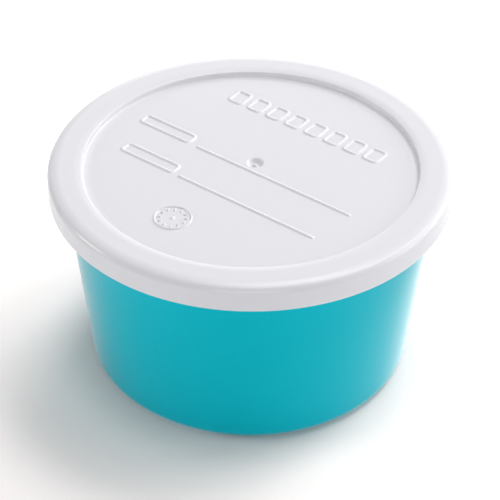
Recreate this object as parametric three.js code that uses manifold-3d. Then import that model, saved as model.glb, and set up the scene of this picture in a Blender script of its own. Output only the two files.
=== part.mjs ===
// A round denture cup in two injection mouldings: a tapered cup, and a lid that snaps over its rim.
// Lengths are in millimetres and angles in degrees. The cup stands on z = 0, centred on the Z axis.
// The writing lines on the lid run along X, and are read from the side of -Y.

import * as THREE from 'three';
import { mergeVertices } from 'three/addons/utils/BufferGeometryUtils.js';
import Module from 'manifold-3d';

const wasm = await Module();
wasm.setup();

// Overall sizes
const lidRadius = 48;
const overallHeight = 53.2;

// Clearances between the two mouldings
const snapClearance = 0.3;
const sealClearance = 0.3;
const seatClearance = 0.3;

// Cup
const cupWall = 1.1;
const cupDraft = 6.1;
const baseWall = 1.3;
const baseCornerRadius = 3.5;
const floorCornerRadius = 3;
const footWidth = 2;
const footRise = 0.8;
const footChamfer = 0.6;
const beadProjection = 1.1;
const beadHeight = 1.7;
const beadUndersideSlope = 45;
const rimOuterRound = 0.5;
const rimInnerRound = 0.3;
const cupGateRadius = 1.2;
const cupGateHeight = 0.3;

// Lid
const lidWall = 1.2;
const skirtWall = 1.2;
const skirtDepth = 6.6;
const skirtFootRound = 0.5;
const leadInChamfer = 0.4;
const shoulderRadius = 1.6;
const shoulderSlope = 20;
const shoulderSlopeWidth = 1.95;
const shoulderSlopeRound = 5;
const insideCornerRadius = 0.8;
const snapDepth = 0.9;
const snapHeight = 1;
const snapFootOffset = 0.9;
const sealDepth = 2.6;
const sealThickness = 0.9;
const sealTipThickness = 0.6;
const borderWidth = 8;
const recessDepth = 1.5;
const recessDraft = 10;
const recessTopRound = 0.3;
const recessTopSlope = 10;
const recessTopSlopeWidth = 1.3;
const recessTopSlopeRound = 7;
const recessFootRound = 0.2;

// Raised marks on the lid's panel, and the dimple where the lid was filled
const markWidth = 1.2;
const markHeight = 0.32;
const markRoot = 0.3;
const cellFieldHeight = 6;
const cellCount = 8;
const cellGap = 0.8;
const labelFieldHeight = 4.4;
const fieldCornerRadius = 1.5;
const dialRadius = 4.6;
const dialMarkWidth = 0.6;
const dialTickLength = 1;
const dialTickCount = 12;
const dialTickGap = 0.35;
const dialHubRadius = 0.8;
const gateDimpleRadius = 2.2;
const gateDimpleDepth = 1;
const gateNubRadius = 0.7;
const gatePadRadius = 3;
const gatePadHeight = 0.5;

// Places on the panel, as shares of its radius from the centre
const lineShares = [
  { left: -0.395, right: 0.755, across: -0.0315 },
  { left: -0.288, right: 0.715, across: -0.3355 },
];
const labelShares = [
  { left: -0.85, right: -0.44 },
  { left: -0.745, right: -0.32 },
];
const cellFieldShares = { left: -0.575, right: 0.575, across: 0.555 };
const dialShares = { along: -0.043, across: -0.68 };
const gateShares = { along: -0.008, across: 0.055 };

// Fineness of the round surfaces
const turnSegments = 96;
const markSegments = 32;
const arcSteps = 5;
const smallArcSteps = 3;
const fieldCornerSteps = 4;

const radians = THREE.MathUtils.degToRad;

// A profile is a list of points (radius, height) that runs outward and up along the outside
function point(radius, height) {
  return new THREE.Vector2(radius, height);
}

// Points on an arc about a centre, with angles counted from the direction of growing radius
function arc(centre, radius, startAngle, endAngle, steps) {
  const points = [];
  for (let step = 0; step <= steps; step += 1) {
    const angle = radians(THREE.MathUtils.lerp(startAngle, endAngle, step / steps));
    points.push(point(centre.x + radius * Math.cos(angle), centre.y + radius * Math.sin(angle)));
  }
  return points;
}

// Points through corners { at, round }, with an arc that touches both sides of each corner between the ends
function softened(corners) {
  const points = [corners[0].at];
  for (let index = 1; index < corners.length - 1; index += 1) {
    const { at, round } = corners[index];
    const back = corners[index - 1].at.clone().sub(at).normalize();
    const ahead = corners[index + 1].at.clone().sub(at).normalize();
    const half = back.angleTo(ahead) / 2;
    const centre = back.clone().add(ahead).setLength(round / Math.sin(half)).add(at);
    const start = back.clone().multiplyScalar(round / Math.tan(half)).add(at);
    const turn = Math.sign(ahead.cross(back)) * (Math.PI - half - half);
    for (let step = 0; step <= smallArcSteps; step += 1) {
      points.push(start.clone().rotateAround(centre, (turn * step) / smallArcSteps));
    }
  }
  points.push(corners[corners.length - 1].at);
  return points;
}

// Turns any closed geometry into a solid for joins and cuts
function solidFrom(geometry) {
  const bare = geometry.clone();
  bare.deleteAttribute('normal');
  bare.deleteAttribute('uv');
  const merged = mergeVertices(bare);
  const corners = merged.index.array;
  const kept = [];
  for (let face = 0; face < corners.length; face += 3) {
    const [a, b, c] = [corners[face], corners[face + 1], corners[face + 2]];
    if (a !== b && b !== c && c !== a) kept.push(a, b, c);
  }
  return new wasm.Manifold(
    new wasm.Mesh({
      numProp: 3,
      vertProperties: Float32Array.from(merged.attributes.position.array),
      triVerts: Uint32Array.from(kept),
    }),
  );
}

function geometryFrom(solid) {
  const mesh = solid.getMesh();
  const geometry = new THREE.BufferGeometry();
  geometry.setAttribute('position', new THREE.BufferAttribute(Float32Array.from(mesh.vertProperties), 3));
  geometry.setIndex(new THREE.BufferAttribute(Uint32Array.from(mesh.triVerts), 1));
  geometry.computeVertexNormals();
  return geometry;
}

// Spins a profile about the Z axis
function turned(profile, segments) {
  return solidFrom(new THREE.LatheGeometry(profile, segments).rotateX(Math.PI / 2));
}

// Extrudes an outline upward from a level
function raised(shape, bottom, height) {
  const settings = { depth: height, bevelEnabled: false, curveSegments: fieldCornerSteps };
  return solidFrom(new THREE.ExtrudeGeometry(shape, settings).translate(0, 0, bottom));
}

// Levels and radii that both mouldings share
const lidUnderside = overallHeight - lidWall;
const rimTop = lidUnderside - seatClearance;
const skirtFoot = overallHeight - skirtDepth;
const skirtInnerRadius = lidRadius - skirtWall;
const snapRadius = skirtInnerRadius - snapDepth;
const beadRadius = snapRadius - snapClearance;
const cupSlope = Math.tan(radians(cupDraft));
const cupWallAcross = cupWall / Math.cos(radians(cupDraft));

function cupOuterRadius(level) {
  return beadRadius - beadProjection - (rimTop - level) * cupSlope;
}

function cupInnerRadius(level) {
  return cupOuterRadius(level) - cupWallAcross;
}

// Centre radius of a round that touches a level below it and the drafted wall beside it
function cornerCentreRadius(wallRadiusAt, centreLevel, radius) {
  return wallRadiusAt(centreLevel) - radius / Math.cos(radians(cupDraft));
}

// Cup: foot ring, rounded base corner, drafted wall, and a rim with a snap bead outside
function cupSolid() {
  const floorLevel = footRise + baseWall;
  const baseCorner = point(
    cornerCentreRadius(cupOuterRadius, baseCornerRadius, baseCornerRadius),
    baseCornerRadius,
  );
  const floorCornerLevel = floorLevel + floorCornerRadius;
  const floorCorner = point(
    cornerCentreRadius(cupInnerRadius, floorCornerLevel, floorCornerRadius),
    floorCornerLevel,
  );
  const footInnerRadius = baseCorner.x - footWidth;
  const beadFoot = rimTop - beadHeight;
  const undersideTangent = Math.tan(radians(beadUndersideSlope));
  const undersideDrop =
    ((beadRadius - cupOuterRadius(beadFoot)) * undersideTangent) / (1 - cupSlope * undersideTangent);
  const wallTop = beadFoot - undersideDrop;
  const profile = [
    point(0, footRise),
    point(footInnerRadius - footChamfer, footRise),
    point(footInnerRadius, 0),
    ...arc(baseCorner, baseCornerRadius, -90, -cupDraft, arcSteps),
    point(cupOuterRadius(wallTop), wallTop),
    point(beadRadius, beadFoot),
    ...arc(point(beadRadius - rimOuterRound, rimTop - rimOuterRound), rimOuterRound, 0, 90, smallArcSteps),
    ...arc(
      point(cupInnerRadius(rimTop) + rimInnerRound, rimTop - rimInnerRound),
      rimInnerRound,
      90,
      180,
      smallArcSteps,
    ),
    ...arc(floorCorner, floorCornerRadius, -cupDraft, -90, arcSteps),
    point(0, floorLevel),
  ];
  const gate = [
    point(0, footRise - cupGateHeight),
    point(cupGateRadius, footRise - cupGateHeight),
    point(cupGateRadius, footRise + cupGateHeight),
    point(0, footRise + cupGateHeight),
  ];
  return turned(profile, turnSegments).add(turned(gate, markSegments));
}

// Lid: sunk panel, flat border, rounded shoulder, skirt with a snap ridge, and a seal ring inside
const panelLevel = overallHeight - recessDepth;
const panelUnderside = panelLevel - lidWall;
const recessRadius = lidRadius - borderWidth;
const recessSlope = Math.tan(radians(recessDraft));
const panelRadius = recessRadius - recessDepth * recessSlope;

function lidShell() {
  const shoulderFall = shoulderSlopeWidth * Math.tan(radians(shoulderSlope));
  const recessTopFall = recessTopSlopeWidth * Math.tan(radians(recessTopSlope));
  const wallAcross = lidWall / Math.cos(radians(recessDraft));
  const stepUnderTop = recessRadius + wallAcross - lidWall * recessSlope;
  const stepUnderFoot = stepUnderTop - recessDepth * recessSlope;
  const snapMiddle = skirtFoot + skirtFootRound + snapFootOffset;
  const sealTip = lidUnderside - sealDepth;
  const sealOuterTop = cupInnerRadius(lidUnderside) - sealClearance;
  const sealOuterTip = cupInnerRadius(sealTip) - sealClearance;
  const profile = [
    point(0, panelUnderside),
    point(stepUnderFoot, panelUnderside),
    point(stepUnderTop, lidUnderside),
    point(sealOuterTop - sealThickness, lidUnderside),
    point(sealOuterTip - sealTipThickness, sealTip),
    point(sealOuterTip, sealTip),
    point(sealOuterTop, lidUnderside),
    ...arc(
      point(skirtInnerRadius - insideCornerRadius, lidUnderside - insideCornerRadius),
      insideCornerRadius,
      90,
      0,
      smallArcSteps,
    ),
    point(skirtInnerRadius, snapMiddle + snapHeight / 2 + snapDepth / 2),
    point(snapRadius, snapMiddle + snapDepth / 2),
    point(snapRadius, snapMiddle),
    point(skirtInnerRadius, snapMiddle - snapHeight / 2),
    point(skirtInnerRadius, skirtFoot + leadInChamfer),
    point(skirtInnerRadius + leadInChamfer, skirtFoot),
    ...arc(
      point(lidRadius - skirtFootRound, skirtFoot + skirtFootRound),
      skirtFootRound,
      -90,
      0,
      smallArcSteps,
    ),
    ...softened([
      { at: point(lidRadius, skirtFoot + skirtFootRound) },
      { at: point(lidRadius, overallHeight - shoulderFall), round: shoulderRadius },
      { at: point(lidRadius - shoulderSlopeWidth, overallHeight), round: shoulderSlopeRound },
      { at: point(recessRadius + recessTopSlopeWidth, overallHeight), round: recessTopSlopeRound },
      { at: point(recessRadius, overallHeight - recessTopFall), round: recessTopRound },
      { at: point(panelRadius, panelLevel), round: recessFootRound },
      { at: point(0, panelLevel) },
    ]),
  ];
  return turned(profile, turnSegments);
}

// A straight raised bar between two places on the panel
function bar(x0, y0, x1, y1, width) {
  const along = new THREE.Vector2(x1 - x0, y1 - y0);
  const side = new THREE.Vector2(-along.y, along.x).setLength(width / 2);
  const shape = new THREE.Shape([
    point(x0 - side.x, y0 - side.y),
    point(x1 - side.x, y1 - side.y),
    point(x1 + side.x, y1 + side.y),
    point(x0 + side.x, y0 + side.y),
  ]);
  return raised(shape, panelLevel - markRoot, markRoot + markHeight);
}

function roundedRectangle(path, left, bottom, width, height, radius) {
  const right = left + width;
  const top = bottom + height;
  path.moveTo(left + radius, bottom);
  path.lineTo(right - radius, bottom);
  path.absarc(right - radius, bottom + radius, radius, -Math.PI / 2, 0);
  path.lineTo(right, top - radius);
  path.absarc(right - radius, top - radius, radius, 0, Math.PI / 2);
  path.lineTo(left + radius, top);
  path.absarc(left + radius, top - radius, radius, Math.PI / 2, Math.PI);
  path.lineTo(left, bottom + radius);
  path.absarc(left + radius, bottom + radius, radius, Math.PI, Math.PI * 1.5);
  return path;
}

// A raised outline with rounded corners, as wide as a mark all round
function field(left, bottom, width, height) {
  const shape = roundedRectangle(new THREE.Shape(), left, bottom, width, height, fieldCornerRadius);
  const hole = roundedRectangle(
    new THREE.Path(),
    left + markWidth,
    bottom + markWidth,
    width - markWidth - markWidth,
    height - markWidth - markWidth,
    fieldCornerRadius - markWidth,
  );
  shape.holes.push(hole);
  return raised(shape, panelLevel - markRoot, markRoot + markHeight);
}

// A raised ring about its own centre, or a disc where there is no hole in it
function ring(outerRadius, holeRadius) {
  const bottom = panelLevel - markRoot;
  const top = panelLevel + markHeight;
  const profile = [
    point(holeRadius, bottom),
    point(outerRadius, bottom),
    point(outerRadius, top),
    point(holeRadius, top),
  ];
  if (holeRadius > 0) profile.push(point(holeRadius, bottom));
  return turned(profile, markSegments);
}

function writingMarks() {
  const marks = [];
  lineShares.forEach((line, row) => {
    const level = line.across * panelRadius;
    marks.push(bar(line.left * panelRadius, level, line.right * panelRadius, level, markWidth));
    const label = labelShares[row];
    const left = label.left * panelRadius;
    const width = label.right * panelRadius - left;
    marks.push(field(left, level - markWidth / 2, width, labelFieldHeight));
  });
  return marks;
}

// A row of separate blank cells
function cellFieldMarks() {
  const left = cellFieldShares.left * panelRadius;
  const right = cellFieldShares.right * panelRadius;
  const pitch = (right - left + cellGap) / cellCount;
  const bottom = cellFieldShares.across * panelRadius - cellFieldHeight / 2;
  const marks = [];
  for (let cell = 0; cell < cellCount; cell += 1) {
    marks.push(field(left + pitch * cell, bottom, pitch - cellGap, cellFieldHeight));
  }
  return marks;
}

// A plain dial of the kind that a mould's date insert leaves: a ring, twelve ticks inside it and a hub
function dialMarks() {
  const x = dialShares.along * panelRadius;
  const y = dialShares.across * panelRadius;
  const marks = [
    ring(dialRadius, dialRadius - dialMarkWidth).translate([x, y, 0]),
    ring(dialHubRadius, 0).translate([x, y, 0]),
  ];
  const tickOuter = dialRadius - dialMarkWidth - dialTickGap;
  const tickInner = tickOuter - dialTickLength;
  for (let tick = 0; tick < dialTickCount; tick += 1) {
    const angle = (tick / dialTickCount) * Math.PI * 2;
    const outX = Math.cos(angle);
    const outY = Math.sin(angle);
    marks.push(
      bar(
        x + tickInner * outX,
        y + tickInner * outY,
        x + tickOuter * outX,
        y + tickOuter * outY,
        dialMarkWidth,
      ),
    );
  }
  return marks;
}

// The filling point: a shallow round dimple with a nub in it, and a pad below that keeps the wall whole
function withGate(lid) {
  const place = [gateShares.along * panelRadius, gateShares.across * panelRadius, 0];
  const ballRadius = (gateDimpleRadius ** 2 + gateDimpleDepth ** 2) / (gateDimpleDepth + gateDimpleDepth);
  const ballCentre = point(0, panelLevel - gateDimpleDepth + ballRadius);
  const rimAngle = THREE.MathUtils.radToDeg(Math.asin(gateDimpleRadius / ballRadius));
  const dimple = [
    ...arc(ballCentre, ballRadius, -90, -90 + rimAngle, arcSteps),
    point(gateDimpleRadius, panelLevel + markHeight),
    point(0, panelLevel + markHeight),
  ];
  const nub = [
    point(0, panelUnderside),
    point(gateNubRadius, panelUnderside),
    point(gateNubRadius, panelLevel - gateDimpleDepth / 2),
    point(0, panelLevel - gateDimpleDepth / 2),
  ];
  const pad = [
    point(0, panelUnderside - gatePadHeight),
    point(gatePadRadius - gatePadHeight, panelUnderside - gatePadHeight),
    point(gatePadRadius, panelUnderside),
    point(gatePadRadius, panelUnderside + markRoot),
    point(0, panelUnderside + markRoot),
  ];
  return lid
    .add(turned(pad, markSegments).translate(place))
    .subtract(turned(dimple, markSegments).translate(place))
    .add(turned(nub, markSegments).translate(place));
}

function lidSolid() {
  const marks = [...writingMarks(), ...cellFieldMarks(), ...dialMarks()];
  const marked = marks.reduce((lid, mark) => lid.add(mark), lidShell());
  return withGate(marked);
}

// The two pieces, each in its own moulded plastic
const cup = new THREE.Mesh(
  geometryFrom(cupSolid()),
  new THREE.MeshStandardMaterial({ color: 0x0aa6b6, roughness: 0.28, metalness: 0 }),
);
cup.name = 'cup';

const lid = new THREE.Mesh(
  geometryFrom(lidSolid()),
  new THREE.MeshStandardMaterial({ color: 0xe6e6ea, roughness: 0.4, metalness: 0 }),
);
lid.name = 'lid';

const dentureCup = new THREE.Group();
dentureCup.add(cup, lid);

export default dentureCup;
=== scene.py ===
"""A round denture cup: a turquoise tapered cup and a white lid with a sunk writing panel.

Lengths are in millimetres unless a comment says otherwise, and go to metres where a mesh is made.
The part's own frame has +Z up and +X along the writing lines on the lid.
"""

import math

import bmesh
import bpy
from mathutils import Matrix, Vector
from mathutils.geometry import delaunay_2d_cdt


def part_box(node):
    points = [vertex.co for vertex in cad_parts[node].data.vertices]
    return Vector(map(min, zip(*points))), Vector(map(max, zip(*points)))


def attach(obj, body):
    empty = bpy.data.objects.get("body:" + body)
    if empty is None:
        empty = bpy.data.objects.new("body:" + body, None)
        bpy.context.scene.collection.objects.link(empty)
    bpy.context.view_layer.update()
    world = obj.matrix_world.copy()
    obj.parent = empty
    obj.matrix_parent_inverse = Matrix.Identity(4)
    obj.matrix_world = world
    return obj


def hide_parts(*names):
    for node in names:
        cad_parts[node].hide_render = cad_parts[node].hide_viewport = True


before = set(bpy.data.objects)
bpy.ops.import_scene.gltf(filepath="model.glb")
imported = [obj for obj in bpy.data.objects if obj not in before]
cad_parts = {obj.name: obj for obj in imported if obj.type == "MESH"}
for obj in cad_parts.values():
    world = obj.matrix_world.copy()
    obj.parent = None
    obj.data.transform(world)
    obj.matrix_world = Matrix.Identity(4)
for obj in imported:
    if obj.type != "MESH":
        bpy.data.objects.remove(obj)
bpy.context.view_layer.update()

MM = 0.001
_, cup_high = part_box("cup")
lid_low, lid_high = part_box("lid")

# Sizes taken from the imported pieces
LID_RADIUS = lid_high.x / MM
LID_TOP = lid_high.z / MM
SKIRT_FOOT = lid_low.z / MM
BEAD_RADIUS = cup_high.x / MM
RIM_TOP = cup_high.z / MM

# Cup
CUP_WALL = 1.1
CUP_DRAFT = math.radians(6.1)
CUP_SLOPE = math.tan(CUP_DRAFT)
BASE_WALL = 1.3
BASE_CORNER = 3.5
FLOOR_CORNER = 3.0
FOOT_WIDTH = 2.0
FOOT_RISE = 0.8
FOOT_ROUND = 0.3
BEAD_PROJECTION = 1.1
BEAD_HEIGHT = 1.7
BEAD_ROUND = 0.45
NECK_ROUND = 0.8
RIM_INNER_ROUND = 0.3
CUP_GATE_RADIUS = 1.2
CUP_GATE_HEIGHT = 0.3
CUP_GATE_EDGE_ROUND = 0.15
CUP_GATE_ROOT_ROUND = 0.1

# Lid
LID_WALL = 1.2
LID_INSIDE_ROUND = 0.3
SKIRT_WALL = 1.2
SKIRT_FOOT_ROUND = 0.5
SKIRT_INSIDE_CORNER = 0.8
LEAD_IN = 0.4
LEAD_IN_ROUND = 0.15
SHOULDER_ROUND = 1.6
SHOULDER_SLOPE = math.tan(math.radians(20))
SHOULDER_SLOPE_WIDTH = 1.95
SHOULDER_SLOPE_ROUND = 5.0
SNAP_DEPTH = 0.9
SNAP_HEIGHT = 1.0
SNAP_FOOT_OFFSET = 0.9
SNAP_ROOT_ROUND = 0.4
SNAP_ROUND = 0.25
SNAP_FOOT_ROUND = 0.2
SEAL_DEPTH = 2.6
SEAL_CLEARANCE = 0.3
SEAL_THICKNESS = 0.9
SEAL_TIP_THICKNESS = 0.6
SEAL_ROUND = 0.22

# Sunk panel of the lid
BORDER_WIDTH = 8.0
RECESS_DEPTH = 1.5
RECESS_DRAFT = math.radians(10)
RECESS_SLOPE = math.tan(RECESS_DRAFT)
RECESS_TOP_ROUND = 0.3
RECESS_TOP_SLOPE = math.tan(math.radians(10))
RECESS_TOP_SLOPE_WIDTH = 1.3
RECESS_TOP_SLOPE_ROUND = 7.0
RECESS_FOOT_ROUND = 0.2
RECESS_RADIUS = LID_RADIUS - BORDER_WIDTH
PANEL_RADIUS = RECESS_RADIUS - RECESS_DEPTH * RECESS_SLOPE
PANEL_TOP = LID_TOP - RECESS_DEPTH
PANEL_UNDERSIDE = PANEL_TOP - LID_WALL
PANEL_UNDERSIDE_ROUND = 0.6
PANEL_MARGIN = 0.9

# Raised marks on the panel, whose crest is rounded over a share of their half width
MARK_WIDTH = 1.2
MARK_HEIGHT = 0.32
MARK_CREST_SHARE = 0.2
MARK_SKIRT = 0.08
CELL_FIELD_HEIGHT = 6.0
CELL_COUNT = 8
CELL_GAP = 0.8
LABEL_FIELD_HEIGHT = 4.4
FIELD_CORNER = 1.5
DIAL_RADIUS = 4.6
DIAL_MARK_WIDTH = 0.6
DIAL_TICK = 1.0
DIAL_TICK_COUNT = 12
DIAL_GAP = 0.35
DIAL_HUB_RADIUS = 0.8

# Gate dimple of the lid, and the pad under it
GATE_RADIUS = 2.2
GATE_DEPTH = 1.0
GATE_FLOOR_SHARE = 0.45
GATE_NUB_RADIUS = 0.7
GATE_NUB_HEIGHT = 0.5
GATE_PAD_RADIUS = 3.0
GATE_PAD_HEIGHT = 0.5

# Places on the panel, as shares of its radius from the centre
LINE_SHARES = (
    {"left": -0.395, "right": 0.755, "across": -0.0315},
    {"left": -0.288, "right": 0.715, "across": -0.3355},
)
LABEL_SHARES = (
    {"left": -0.85, "right": -0.44},
    {"left": -0.745, "right": -0.32},
)
CELL_FIELD_SHARES = {"left": -0.575, "right": 0.575, "across": 0.555}
DIAL_SHARES = {"along": -0.043, "across": -0.68}
GATE_SHARES = {"along": -0.008, "across": 0.055}

# Fineness of the meshes
TURN_SEGMENTS = 288
ARC_STEP = math.radians(9)
LEAST_ARC_STEPS = 2
SUPPORT_LENGTH = 0.12
LONG_STRETCH = 6 * SUPPORT_LENGTH
MARK_STEPS = 6
END_STEPS = 12
SMALL_CIRCLE_SEGMENTS = 48
MERGE_LENGTH = 0.002
SLIVER_LENGTH = 0.0005
FLAT_TOLERANCE = 0.00001

# Plastics: colours are linear, noise is in cycles per metre, and its heights are in metres
CUP_COLOUR = (0.0, 0.518, 0.63, 1)
CUP_ROUGHNESS = 0.25
CUP_SPECULAR_LEVEL = 0.15
CUP_SPECULAR_TINT = (0.0, 1, 1, 1)
CUP_SHEEN = 1.0
CUP_SHEEN_ROUGHNESS = 0.28
CUP_IOR = 1.4
CUP_NOISE = (
    {"cycles": 180, "height": 0.00003},
    {"cycles": 2600, "height": 0.000004},
)
LID_COLOUR = (0.8, 0.794, 0.83, 1)
LID_ROUGHNESS = 0.25
LID_IOR = 1.49
LID_NOISE = (
    {"cycles": 160, "height": 0.00003},
    {"cycles": 3000, "height": 0.000005},
)
NOISE_DETAIL = 3
BUMP_STRENGTH = 0.5

# Camera, as it stands to the object in the photograph
CAMERA_AZIMUTH = math.radians(37.4)
CAMERA_ELEVATION = math.radians(37.52)
CAMERA_ROLL = math.radians(0.48)
CAMERA_DISTANCE = 488.6
CAMERA_LENS = 144.0
CAMERA_SENSOR = 36.0
AIM_HEIGHT = 27.0

# Lamps: lengths in metres, angles in degrees, azimuth 0 on the camera's side and 90 to its right
LAMP_DISTANCE = 3.0
LAMP_SIZE = 1.0
BROAD_LAMP_SIZE = 1.8
STRIP_SIZE = 0.7
LAMPS = (
    {"name": "back_right", "azimuth": 115, "elevation": 15, "watts": 17.5},
    {"name": "back_low", "azimuth": 175, "elevation": 15, "watts": 9.5, "size": BROAD_LAMP_SIZE},
    {"name": "right_high", "azimuth": 105, "elevation": 65, "watts": 19.0},
    {
        "name": "key", "azimuth": 150, "elevation": 35, "watts": 27.5,
        "size": BROAD_LAMP_SIZE, "mirrored": False,
    },
    {"name": "strip_high", "azimuth": 120, "elevation": 48, "watts": 10.0, "size": STRIP_SIZE},
    {"name": "strip_middle", "azimuth": 135, "elevation": 36, "watts": 6.0, "size": STRIP_SIZE},
    {"name": "strip_low", "azimuth": 147, "elevation": 23, "watts": 3.0, "size": STRIP_SIZE},
    {"name": "front", "azimuth": 0, "elevation": 15, "watts": 30.5, "size": BROAD_LAMP_SIZE},
    {"name": "left", "azimuth": -90, "elevation": 15, "watts": 23.5},
    {"name": "back_high", "azimuth": 165, "elevation": 65, "watts": 14.0},
    {"name": "overhead", "azimuth": 0, "elevation": 90, "watts": 9.0},
    {"name": "right", "azimuth": 88, "elevation": 15, "watts": 13.0},
)

# Paper floor: lengths are in metres, colours are linear, and a glow of 1 is white
WHITE = (1, 1, 1, 1)
PAPER_REACH = 8.0
PAPER_END_NEAR = 0.25
PAPER_END_FAR = 1.4
PAPER_BOUNCE_COLOUR = (0.95, 0.95, 0.95, 1)
# Painted tint: where the camera or a reflection sees it, the paper near the object is warmer, which
# cancels the cup's turquoise bounce light
PAPER_SEEN_COLOUR = (0.94, 0.815, 0.79, 1)
PAPER_TINT_NEAR = 0.055
PAPER_TINT_FAR = 0.14
# Painted shadow: the paper's glow is lowest round this centre, a painted dark patch that deepens the
# shadow the lamps cast
SHADE_CENTRE = (-0.0025, -0.0295, 0)
SHADE_CORE_RADIUS = 0.03
SHADE_EDGE_RADIUS = 0.05
SHADE_GLOW = 0.235
OPEN_GLOW = 0.34
# Painted contact shade: ambient occlusion within this reach dims the paper's glow where it meets the
# object
CONTACT_REACH = 0.012


# Profiles and turned surfaces

def rounded_profile(corners):
    """Points (radius, height) through corners (radius, height, round), with arcs where it is round."""
    points = []
    last = len(corners) - 1
    for index, (radius, height, round_radius) in enumerate(corners):
        here = Vector((radius, height))
        if round_radius == 0 or index in (0, last):
            points.append(here)
            continue
        back = (Vector(corners[index - 1][:2]) - here).normalized()
        ahead = (Vector(corners[index + 1][:2]) - here).normalized()
        opening = back.angle(ahead)
        turn = math.pi - opening
        setback = round_radius / math.tan(opening / 2)
        centre = here + (back + ahead).normalized() * (round_radius / math.sin(opening / 2))
        start = here + back * setback - centre
        sign = 1 if start.cross(here + ahead * setback - centre) > 0 else -1
        steps = max(LEAST_ARC_STEPS, math.ceil(turn / ARC_STEP))
        for step in range(steps + 1):
            points.append(centre + Matrix.Rotation(sign * turn * step / steps, 2) @ start)
    return with_supports(points)


def with_supports(points):
    """Adds a point near each end of the long straight stretches, so that their shading stays flat."""
    result = [points[0]]
    for start, end in zip(points, points[1:]):
        length = (end - start).length
        if length > LONG_STRETCH:
            along = (end - start) / length
            result.append(start + along * SUPPORT_LENGTH)
            result.append(end - along * SUPPORT_LENGTH)
        result.append(end)
    return result


def circle_points(radius, segments, centre=(0, 0)):
    """Points of a circle, the first on the side of +X."""
    return [
        (
            centre[0] + radius * math.cos(math.tau * step / segments),
            centre[1] + radius * math.sin(math.tau * step / segments),
        )
        for step in range(segments)
    ]


def closed_edges(first, count):
    """Edges of a closed loop of corners, as pairs of their numbers."""
    return [(first + step, first + (step + 1) % count) for step in range(count)]


class Shell:
    """Gathers the vertices and faces of one piece, in millimetres."""

    def __init__(self):
        self.vertices = []
        self.faces = []

    def ring(self, points, height):
        """Adds the points at one height, and gives their numbers."""
        first = len(self.vertices)
        self.vertices += [(x, y, height) for x, y in points]
        return list(range(first, first + len(points)))

    def bridge(self, rings):
        """Quads between each two neighbours among closed rings of equal length."""
        for lower, upper in zip(rings, rings[1:]):
            count = len(lower)
            for step in range(count):
                after = (step + 1) % count
                self.faces.append((lower[step], lower[after], upper[after], upper[step]))

    def turn(self, profile):
        """A surface turned about the Z axis through the profile's points."""
        self.bridge([
            self.ring(circle_points(max(point.x, 0), TURN_SEGMENTS), point.y) for point in profile
        ])

    def flat(self, radius, height, marks):
        """A flat disc with the marks' footprints left out, and the marks' surfaces in them."""
        outline = circle_points(radius, TURN_SEGMENTS)
        corners = [Vector(point) for point in outline]
        edges = closed_edges(0, len(outline))
        for mark in marks:
            for loop in mark.footprint():
                edges += closed_edges(len(corners), len(loop))
                corners += [Vector(point) for point in loop]
        found, _, triangles, _, _, _ = delaunay_2d_cdt(corners, edges, [], 0, FLAT_TOLERANCE)
        first = len(self.vertices)
        self.vertices += [(point.x, point.y, height) for point in found]
        for triangle in triangles:
            middle = sum((found[corner] for corner in triangle), Vector((0, 0))) / len(triangle)
            inside = middle.length < radius * math.cos(math.pi / TURN_SEGMENTS)
            if inside and not any(mark.covers(middle) for mark in marks):
                self.faces.append(tuple(first + corner for corner in triangle))
        for mark in marks:
            mark.build(self, height)

    def finish(self, name):
        """The closed mesh object in metres, with outward faces and smooth shading."""
        mesh = bpy.data.meshes.new(name)
        vertices = [tuple(value * MM for value in vertex) for vertex in self.vertices]
        mesh.from_pydata(vertices, [], self.faces)
        work = bmesh.new()
        work.from_mesh(mesh)
        bmesh.ops.remove_doubles(work, verts=work.verts, dist=MERGE_LENGTH * MM)
        bmesh.ops.dissolve_degenerate(work, edges=work.edges, dist=SLIVER_LENGTH * MM)
        bmesh.ops.recalc_face_normals(work, faces=work.faces)
        open_edges = sum(1 for edge in work.edges if len(edge.link_faces) != 2)
        print(name, "faces", len(work.faces), "open edges", open_edges)
        work.to_mesh(mesh)
        work.free()
        mesh.polygons.foreach_set("use_smooth", [True] * len(mesh.polygons))
        piece = bpy.data.objects.new(name, mesh)
        bpy.context.scene.collection.objects.link(piece)
        return piece


# Marks: each has a footprint on a flat, a narrow level skirt inside it, and a rounded surface

def swell(share):
    """Height of a dome as a share of the full height, from its foot (0) to its middle (1)."""
    return math.sin(share * math.pi / 2) ** 2


def ridge(step):
    """Place across a ridge and height there, as shares of its half width and of its height."""
    across = 1 - step / MARK_STEPS
    foot = math.hypot(1, MARK_CREST_SHARE)
    return across, (foot - math.hypot(across, MARK_CREST_SHARE)) / (foot - MARK_CREST_SHARE)


class Bar:
    """A straight ridge with round ends."""

    def __init__(self, start, end, width=MARK_WIDTH):
        self.start = Vector(start)
        self.end = Vector(end)
        self.half = width / 2

    def loop(self, reach):
        """The outline at a distance from the middle line."""
        along = (self.end - self.start).normalized()
        heading = math.atan2(along.y, along.x)
        points = []
        for centre, first in ((self.end, heading - math.pi / 2), (self.start, heading + math.pi / 2)):
            for step in range(END_STEPS + 1):
                angle = first + math.pi * step / END_STEPS
                points.append((centre.x + reach * math.cos(angle), centre.y + reach * math.sin(angle)))
        return points

    def footprint(self):
        return [self.loop(self.half + MARK_SKIRT)]

    def covers(self, place):
        along = self.end - self.start
        share = max(0, min(1, (place - self.start).dot(along) / along.length_squared))
        return (place - self.start - along * share).length < self.half + MARK_SKIRT

    def build(self, shell, level):
        rings = [shell.ring(self.loop(self.half + MARK_SKIRT), level)]
        for step in range(MARK_STEPS + 1):
            across, rise = ridge(step)
            rings.append(shell.ring(self.loop(self.half * across), level + MARK_HEIGHT * rise))
        shell.bridge(rings)


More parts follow.
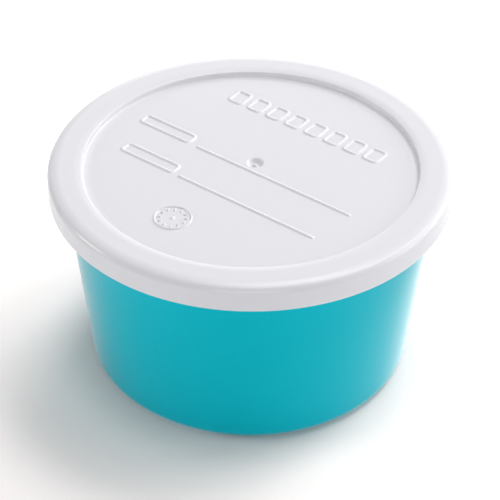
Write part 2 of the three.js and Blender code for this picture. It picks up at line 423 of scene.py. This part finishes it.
class Band:
    """A closed ridge round a rectangle with rounded corners, or round a circle if the sides are 0."""

    def __init__(self, centre, width, height, corner, ridge_width=MARK_WIDTH):
        self.centre = Vector(centre)
        self.side_x = max(width / 2 - corner, 0)
        self.side_y = max(height / 2 - corner, 0)
        self.corner = corner
        self.half = ridge_width / 2

    def loop(self, offset):
        """The outline at an offset outward from the crest."""
        radius = self.corner + offset
        points = []
        for quarter, (toward_x, toward_y) in enumerate(((1, 1), (-1, 1), (-1, -1), (1, -1))):
            middle_x = self.centre.x + toward_x * self.side_x
            middle_y = self.centre.y + toward_y * self.side_y
            for step in range(END_STEPS + 1):
                angle = (quarter + step / END_STEPS) * math.pi / 2
                points.append((middle_x + radius * math.cos(angle), middle_y + radius * math.sin(angle)))
        return points

    def footprint(self):
        reach = self.half + MARK_SKIRT
        return [self.loop(reach), self.loop(-reach)]

    def covers(self, place):
        past_x = abs(place.x - self.centre.x) - self.side_x
        past_y = abs(place.y - self.centre.y) - self.side_y
        reach = max(past_x, past_y)
        if reach > 0:
            reach = math.hypot(max(past_x, 0), max(past_y, 0))
        return abs(reach - self.corner) < self.half + MARK_SKIRT

    def build(self, shell, level):
        rings = [shell.ring(self.loop(-self.half - MARK_SKIRT), level)]
        for step in range(2 * MARK_STEPS + 1):
            across, rise = ridge(step)
            rings.append(shell.ring(self.loop(-self.half * across), level + MARK_HEIGHT * rise))
        rings.append(shell.ring(self.loop(self.half + MARK_SKIRT), level))
        shell.bridge(rings)


class Spot:
    """A round boss or dimple, given as (radius, height) from its edge to its middle."""

    def __init__(self, centre, profile):
        self.centre = Vector(centre)
        self.profile = [(profile[0][0] + MARK_SKIRT, 0)] + profile

    def circle(self, radius):
        return circle_points(radius, SMALL_CIRCLE_SEGMENTS, self.centre)

    def footprint(self):
        return [self.circle(self.profile[0][0])]

    def covers(self, place):
        return (place - self.centre).length < self.profile[0][0]

    def build(self, shell, level):
        shell.bridge([
            shell.ring(self.circle(radius), level + height) for radius, height in self.profile
        ])


def dome(radius, height):
    """A low round swelling, level at its edge and at its middle."""
    steps = 2 * MARK_STEPS
    return [(radius * (1 - step / steps), height * swell(step / steps)) for step in range(steps + 1)]


def dimple_with_nub():
    """A round dimple whose floor carries a small nub."""
    floor_radius = GATE_RADIUS * GATE_FLOOR_SHARE
    wall = []
    nub = []
    for step in range(MARK_STEPS + 1):
        share = step / MARK_STEPS
        wall.append((GATE_RADIUS + (floor_radius - GATE_RADIUS) * share, -GATE_DEPTH * swell(share)))
        rise = GATE_NUB_HEIGHT * math.sin(share * math.pi / 2)
        nub.append((GATE_NUB_RADIUS * (1 - share), rise - GATE_DEPTH))
    return wall + nub


# The cup

def cup_outer(height):
    """Radius of the cup's outside."""
    return BEAD_RADIUS - BEAD_PROJECTION - (RIM_TOP - height) * CUP_SLOPE


def cup_inner(height):
    """Radius of the cup's inside."""
    return cup_outer(height) - CUP_WALL / math.cos(CUP_DRAFT)


def make_cup():
    """From the gate mark under the base, up the outside and over the rim, down to the inside floor.

    The inner face of the foot ring and the underside of the bead slope at 45 degrees.
    """
    floor = FOOT_RISE + BASE_WALL
    foot_outer = cup_outer(BASE_CORNER) - BASE_CORNER / math.cos(CUP_DRAFT)
    foot_inner = foot_outer - FOOT_WIDTH
    bead_foot = RIM_TOP - BEAD_HEIGHT
    bead_drop = (BEAD_RADIUS - cup_outer(bead_foot)) / (1 - CUP_SLOPE)
    neck = bead_foot - bead_drop
    shell = Shell()
    shell.turn(rounded_profile([
        (0, FOOT_RISE - CUP_GATE_HEIGHT, 0),
        (CUP_GATE_RADIUS, FOOT_RISE - CUP_GATE_HEIGHT, CUP_GATE_EDGE_ROUND),
        (CUP_GATE_RADIUS, FOOT_RISE, CUP_GATE_ROOT_ROUND),
        (foot_inner - FOOT_RISE, FOOT_RISE, FOOT_ROUND),
        (foot_inner, 0, FOOT_ROUND),
        (cup_outer(0), 0, BASE_CORNER),
        (cup_outer(neck), neck, NECK_ROUND),
        (BEAD_RADIUS, bead_foot, BEAD_ROUND),
        (BEAD_RADIUS, RIM_TOP, BEAD_ROUND),
        (cup_inner(RIM_TOP), RIM_TOP, RIM_INNER_ROUND),
        (cup_inner(floor), floor, FLOOR_CORNER),
        (0, floor, 0),
    ]))
    return shell.finish("cup_shell")


# The lid

def panel_place(shares):
    """A place on the panel from its shares of the panel's radius."""
    return Vector((shares["along"], shares["across"])) * PANEL_RADIUS


def writing_lines():
    """Two writing lines, each with a blank label field before it."""
    marks = []
    inset = MARK_WIDTH / 2
    height = LABEL_FIELD_HEIGHT - MARK_WIDTH
    for line, label in zip(LINE_SHARES, LABEL_SHARES):
        level = line["across"] * PANEL_RADIUS
        left = line["left"] * PANEL_RADIUS + inset
        right = line["right"] * PANEL_RADIUS - inset
        marks.append(Bar((left, level), (right, level)))
        label_left = label["left"] * PANEL_RADIUS + inset
        label_right = label["right"] * PANEL_RADIUS - inset
        middle = ((label_left + label_right) / 2, level + height / 2)
        marks.append(Band(middle, label_right - label_left, height, FIELD_CORNER - inset))
    return marks


def blank_cells():
    """A row of blank cells."""
    left = CELL_FIELD_SHARES["left"] * PANEL_RADIUS
    right = CELL_FIELD_SHARES["right"] * PANEL_RADIUS
    level = CELL_FIELD_SHARES["across"] * PANEL_RADIUS
    pitch = (right - left + CELL_GAP) / CELL_COUNT
    width = pitch - CELL_GAP - MARK_WIDTH
    height = CELL_FIELD_HEIGHT - MARK_WIDTH
    corner = FIELD_CORNER - MARK_WIDTH / 2
    return [
        Band((left + pitch * cell + (pitch - CELL_GAP) / 2, level), width, height, corner)
        for cell in range(CELL_COUNT)
    ]


def plain_dial():
    """A ring, a hub and the ticks between them."""
    dial = panel_place(DIAL_SHARES)
    inset = DIAL_MARK_WIDTH / 2
    marks = [
        Band(dial, 0, 0, DIAL_RADIUS - inset, DIAL_MARK_WIDTH),
        Spot(dial, dome(DIAL_HUB_RADIUS, MARK_HEIGHT)),
    ]
    tick_outer = DIAL_RADIUS - DIAL_MARK_WIDTH - DIAL_GAP
    for tick in range(DIAL_TICK_COUNT):
        angle = math.tau * tick / DIAL_TICK_COUNT
        direction = Vector((math.cos(angle), math.sin(angle)))
        near = dial + direction * (tick_outer - DIAL_TICK + inset)
        marks.append(Bar(near, dial + direction * (tick_outer - inset), DIAL_MARK_WIDTH))
    return marks


def lid_inside(disc):
    """Corners from the panel's underside over the seal ring and the snap ridge to the skirt's foot."""
    underside = LID_TOP - LID_WALL
    under_top = RECESS_RADIUS + LID_WALL / math.cos(RECESS_DRAFT) - LID_WALL * RECESS_SLOPE
    under_foot = under_top - RECESS_DEPTH * RECESS_SLOPE
    skirt_inner = LID_RADIUS - SKIRT_WALL
    snap_radius = skirt_inner - SNAP_DEPTH
    snap_middle = SKIRT_FOOT + SKIRT_FOOT_ROUND + SNAP_FOOT_OFFSET
    seal_tip = underside - SEAL_DEPTH
    seal_top_radius = cup_inner(underside) - SEAL_CLEARANCE
    seal_tip_radius = cup_inner(seal_tip) - SEAL_CLEARANCE
    return [
        (disc, PANEL_UNDERSIDE, 0),
        (under_foot, PANEL_UNDERSIDE, PANEL_UNDERSIDE_ROUND),
        (under_top, underside, LID_INSIDE_ROUND),
        (seal_top_radius - SEAL_THICKNESS, underside, LID_INSIDE_ROUND),
        (seal_tip_radius - SEAL_TIP_THICKNESS, seal_tip, SEAL_ROUND),
        (seal_tip_radius, seal_tip, SEAL_ROUND),
        (seal_top_radius, underside, LID_INSIDE_ROUND),
        (skirt_inner, underside, SKIRT_INSIDE_CORNER),
        (skirt_inner, snap_middle + SNAP_HEIGHT / 2 + SNAP_DEPTH / 2, SNAP_ROOT_ROUND),
        (snap_radius, snap_middle + SNAP_DEPTH / 2, SNAP_ROUND),
        (snap_radius, snap_middle, SNAP_ROUND),
        (skirt_inner, snap_middle - SNAP_HEIGHT / 2, SNAP_FOOT_ROUND),
        (skirt_inner, SKIRT_FOOT + LEAD_IN, LEAD_IN_ROUND),
        (skirt_inner + LEAD_IN, SKIRT_FOOT, LEAD_IN_ROUND),
    ]


def lid_outside(disc):
    """Corners from the skirt's foot over the shoulder and the border down to the panel."""
    shoulder_drop = SHOULDER_SLOPE_WIDTH * SHOULDER_SLOPE
    recess_drop = RECESS_TOP_SLOPE_WIDTH * RECESS_TOP_SLOPE
    return [
        (LID_RADIUS, SKIRT_FOOT, SKIRT_FOOT_ROUND),
        (LID_RADIUS, LID_TOP - shoulder_drop, SHOULDER_ROUND),
        (LID_RADIUS - SHOULDER_SLOPE_WIDTH, LID_TOP, SHOULDER_SLOPE_ROUND),
        (RECESS_RADIUS + RECESS_TOP_SLOPE_WIDTH, LID_TOP, RECESS_TOP_SLOPE_ROUND),
        (RECESS_RADIUS, LID_TOP - recess_drop, RECESS_TOP_ROUND),
        (PANEL_RADIUS, PANEL_TOP, RECESS_FOOT_ROUND),
        (disc, PANEL_TOP, 0),
    ]


def make_lid():
    """A turned shell, closed by the panel with its marks and by the panel's underside with the pad."""
    disc = PANEL_RADIUS - PANEL_MARGIN
    gate = panel_place(GATE_SHARES)
    pad = [(radius, -height) for radius, height in dome(GATE_PAD_RADIUS, GATE_PAD_HEIGHT)]
    marks = writing_lines() + blank_cells() + plain_dial() + [Spot(gate, dimple_with_nub())]
    shell = Shell()
    shell.turn(rounded_profile(lid_inside(disc) + lid_outside(disc)))
    shell.flat(disc, PANEL_TOP, marks)
    shell.flat(disc, PANEL_UNDERSIDE, [Spot(gate, pad)])
    return shell.finish("lid_shell")


# Materials

def new_material(name):
    """A material, and the nodes and links of its tree."""
    material = bpy.data.materials.new(name)
    material.use_nodes = True
    return material, material.node_tree.nodes, material.node_tree.links


def noise_bump(nodes, links, shader, layers):
    """Bump from layers of noise in the piece's own space."""
    coordinates = nodes.new("ShaderNodeTexCoord")
    before = None
    for layer in layers:
        noise = nodes.new("ShaderNodeTexNoise")
        noise.inputs["Scale"].default_value = layer["cycles"]
        noise.inputs["Detail"].default_value = NOISE_DETAIL
        links.new(coordinates.outputs["Object"], noise.inputs["Vector"])
        bump = nodes.new("ShaderNodeBump")
        bump.inputs["Strength"].default_value = BUMP_STRENGTH
        bump.inputs["Distance"].default_value = layer["height"]
        links.new(noise.outputs["Fac"], bump.inputs["Height"])
        if before:
            links.new(before.outputs["Normal"], bump.inputs["Normal"])
        before = bump
    links.new(before.outputs["Normal"], shader.inputs["Normal"])


def cup_plastic():
    """Turquoise plastic with a blue-green gloss, paler where it is seen at a flat angle."""
    material, nodes, links = new_material("turquoise_plastic")
    shader = nodes["Principled BSDF"]
    shader.inputs["Base Color"].default_value = CUP_COLOUR
    shader.inputs["Roughness"].default_value = CUP_ROUGHNESS
    shader.inputs["Specular IOR Level"].default_value = CUP_SPECULAR_LEVEL
    shader.inputs["Sheen Weight"].default_value = CUP_SHEEN
    shader.inputs["Sheen Roughness"].default_value = CUP_SHEEN_ROUGHNESS
    shader.inputs["Specular Tint"].default_value = CUP_SPECULAR_TINT
    shader.inputs["IOR"].default_value = CUP_IOR
    noise_bump(nodes, links, shader, CUP_NOISE)
    return material


def lid_plastic():
    """White plastic with a satin gloss."""
    material, nodes, links = new_material("white_plastic")
    shader = nodes["Principled BSDF"]
    shader.inputs["Base Color"].default_value = LID_COLOUR
    shader.inputs["Roughness"].default_value = LID_ROUGHNESS
    shader.inputs["IOR"].default_value = LID_IOR
    noise_bump(nodes, links, shader, LID_NOISE)
    return material


# Camera and lamps

def photo_direction(azimuth, elevation):
    """Unit vector from the object. Azimuth 0 is the camera's side, and a quarter turn is its right."""
    turn = CAMERA_AZIMUTH + azimuth
    return Vector((
        math.sin(turn) * math.cos(elevation),
        -math.cos(turn) * math.cos(elevation),
        math.sin(elevation),
    ))


def aim(thing, direction, distance):
    """Puts a camera or lamp into the scene, facing the object's middle from a distance in metres."""
    target = Vector((0, 0, AIM_HEIGHT * MM))
    thing.location = target + direction * distance
    thing.rotation_euler = (target - thing.location).to_track_quat("-Z", "Y").to_euler()
    bpy.context.scene.collection.objects.link(thing)


def make_camera():
    data = bpy.data.cameras.new("camera")
    data.lens = CAMERA_LENS
    data.sensor_width = CAMERA_SENSOR
    camera = bpy.data.objects.new("camera", data)
    aim(camera, photo_direction(0, CAMERA_ELEVATION), CAMERA_DISTANCE * MM)
    camera.rotation_euler.rotate_axis("Z", CAMERA_ROLL)
    bpy.context.scene.camera = camera


def softbox(name, azimuth, elevation, watts, size=LAMP_SIZE, mirrored=True):
    """A soft lamp that the camera doesn't see, aimed at the object, with or without a highlight."""
    data = bpy.data.lights.new(name, "AREA")
    data.size = size
    data.energy = watts
    lamp = bpy.data.objects.new(name, data)
    aim(lamp, photo_direction(math.radians(azimuth), math.radians(elevation)), LAMP_DISTANCE)
    lamp.visible_camera = False
    lamp.visible_glossy = mirrored


# Floor and world

def combined(nodes, links, operation, first, second):
    """Two values brought together by one operation."""
    node = nodes.new("ShaderNodeMath")
    node.operation = operation
    links.new(first, node.inputs[0])
    links.new(second, node.inputs[1])
    return node.outputs["Value"]


def ranged(nodes, links, value, start, end, low, high):
    """The stretch of the value from start to end brought to low..high, with soft ends."""
    node = nodes.new("ShaderNodeMapRange")
    node.interpolation_type = "SMOOTHSTEP"
    node.inputs["From Min"].default_value = start
    node.inputs["From Max"].default_value = end
    node.inputs["To Min"].default_value = low
    node.inputs["To Max"].default_value = high
    links.new(value, node.inputs["Value"])
    return node.outputs["Result"]


def distance_from(nodes, links, centre):
    """How far a place on the floor is from a centre, both in the floor's own space."""
    place = nodes.new("ShaderNodeTexCoord")
    distance = nodes.new("ShaderNodeVectorMath")
    distance.operation = "DISTANCE"
    distance.inputs[1].default_value = centre
    links.new(place.outputs["Object"], distance.inputs[0])
    return distance.outputs["Value"]


def seen_directly(nodes, links):
    """1 for rays from the camera, reflections and transmission, and 0 for diffuse light."""
    path = nodes.new("ShaderNodeLightPath")
    mirrored = combined(
        nodes, links, "MAXIMUM", path.outputs["Is Camera Ray"], path.outputs["Is Glossy Ray"],
    )
    return combined(nodes, links, "MAXIMUM", mirrored, path.outputs["Is Transmission Ray"])


def paper_surface(nodes, links, seen, distance, far):
    """Paper that takes the shadow: a painted warm tint near the object where it is seen, which cancels
    the turquoise light the cup throws on it, and nothing far from it.
    """
    tint = nodes.new("ShaderNodeMix")
    tint.data_type = "RGBA"
    tint.inputs["A"].default_value = PAPER_BOUNCE_COLOUR
    tint.inputs["B"].default_value = PAPER_SEEN_COLOUR
    tinted = ranged(nodes, links, distance, PAPER_TINT_NEAR, PAPER_TINT_FAR, 1, 0)
    links.new(combined(nodes, links, "MULTIPLY", seen, tinted), tint.inputs["Factor"])
    paper = nodes.new("ShaderNodeBsdfDiffuse")
    links.new(tint.outputs["Result"], paper.inputs["Color"])
    near = nodes.new("ShaderNodeMixShader")
    links.new(combined(nodes, links, "MULTIPLY", seen, far), near.inputs["Fac"])
    links.new(paper.outputs["BSDF"], near.inputs[1])
    return near.outputs["Shader"]


def paper_glow(nodes, links, seen, far):
    """Light of the paper where it is seen: a painted shadow where it is least round the shade's centre,
    painted contact shade where occlusion dims it next to the object, and white far away.
    """
    shade = distance_from(nodes, links, SHADE_CENTRE)
    near_glow = ranged(
        nodes, links, shade, SHADE_CORE_RADIUS, SHADE_EDGE_RADIUS, SHADE_GLOW, OPEN_GLOW,
    )
    level = combined(nodes, links, "MAXIMUM", near_glow, far)
    # Painted contact shade: occlusion darkens the glow next to the object
    contact = nodes.new("ShaderNodeAmbientOcclusion")
    contact.inputs["Distance"].default_value = CONTACT_REACH
    open_level = combined(nodes, links, "MULTIPLY", level, contact.outputs["AO"])
    glow = nodes.new("ShaderNodeEmission")
    links.new(combined(nodes, links, "MULTIPLY", seen, open_level), glow.inputs["Strength"])
    return glow.outputs["Emission"]


def floor_material():
    """Pale paper near the object, with a painted tint, a painted shadow and painted contact shade, that
    goes over to plain white far from it.
    """
    material, nodes, links = new_material("floor_white")
    nodes.clear()
    seen = seen_directly(nodes, links)
    distance = distance_from(nodes, links, (0, 0, 0))
    far = ranged(nodes, links, distance, PAPER_END_NEAR, PAPER_END_FAR, 0, 1)
    both = nodes.new("ShaderNodeAddShader")
    links.new(paper_surface(nodes, links, seen, distance, far), both.inputs[0])
    links.new(paper_glow(nodes, links, seen, far), both.inputs[1])
    output = nodes.new("ShaderNodeOutputMaterial")
    links.new(both.outputs["Shader"], output.inputs["Surface"])
    return material


def make_floor():
    mesh = bpy.data.meshes.new("floor")
    corners = [(x * PAPER_REACH, y * PAPER_REACH, 0) for x, y in ((-1, -1), (1, -1), (1, 1), (-1, 1))]
    mesh.from_pydata(corners, [], [(0, 1, 2, 3)])
    mesh.materials.append(floor_material())
    floor = bpy.data.objects.new("floor", mesh)
    bpy.context.scene.collection.objects.link(floor)


def make_world():
    """White where the camera or a reflection sees it, and no diffuse light from it."""
    world = bpy.data.worlds.new("studio")
    bpy.context.scene.world = world
    world.use_nodes = True
    nodes = world.node_tree.nodes
    links = world.node_tree.links
    background = nodes["Background"]
    background.inputs["Color"].default_value = WHITE
    links.new(seen_directly(nodes, links), background.inputs["Strength"])


# The object

cup_piece = make_cup()
cup_piece.data.materials.append(cup_plastic())
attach(cup_piece, "cup")
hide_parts("cup")

lid_piece = make_lid()
lid_piece.data.materials.append(lid_plastic())
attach(lid_piece, "lid")
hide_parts("lid")

# The studio

make_camera()
make_floor()
make_world()
for lamp in LAMPS:
    softbox(**lamp)
bpy.context.scene.view_settings.view_transform = "Standard"
